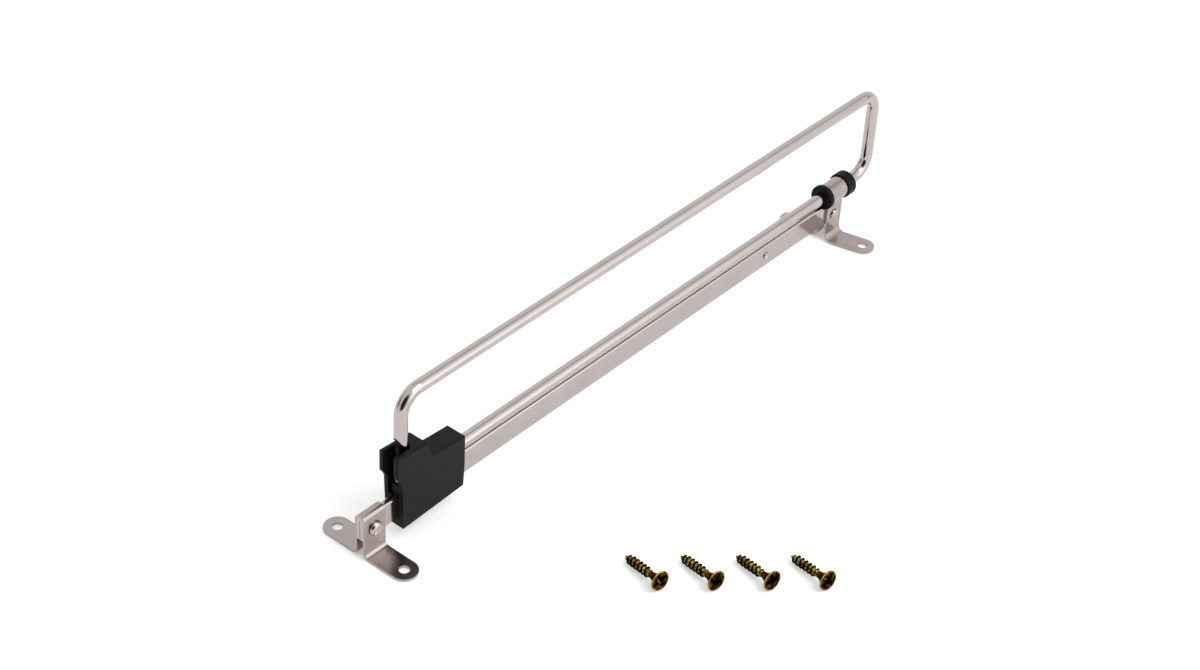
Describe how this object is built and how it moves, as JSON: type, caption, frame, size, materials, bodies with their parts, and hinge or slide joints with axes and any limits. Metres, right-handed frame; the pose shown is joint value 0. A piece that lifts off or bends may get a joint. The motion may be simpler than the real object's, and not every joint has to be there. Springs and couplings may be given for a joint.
{
  "type": "retractable closet rod",
  "caption": "Pull-out wardrobe rod: a bent wire loop for clothes hangers slides along a narrow channel rail held by screw-down strap brackets.",
  "frame": {"origin": "on the mounting plane (undersides of the feet), midway between the two screw holes of the rear bracket", "axes": "+X along the rail, the way the loop pulls out; +Z from the mounting plane towards the hanging run; Y across, with the domed rivet heads on the -Y side"},
  "size_m": [0.468, 0.2361, 0.0966],
  "materials": {
    "nickel": "bright nickel plate",
    "satin_nickel": "nickel-plated sheet, a little duller than the wire",
    "black_plastic": "moulded, satin",
    "yellow_zinc": "yellow zinc plate"
  },
  "bodies": {
    "rail": {"guide_rail": "satin_nickel", "rear_bracket": "satin_nickel", "front_bracket": "satin_nickel", "rear_rivet": "nickel", "front_rivet": "nickel", "stop_pin": "nickel", "guide_bush": "black_plastic", "mounting_screws": "yellow_zinc"},
    "hanger": {"hanger_rod": "nickel", "slider_block": "black_plastic"}
  },
  "joints": [
    {"name": "pull_out", "type": "slide", "parent": "rail", "child": "hanger", "axis": [1, 0, 0], "range_m": [-0.006, 0.2788]}
  ]
}
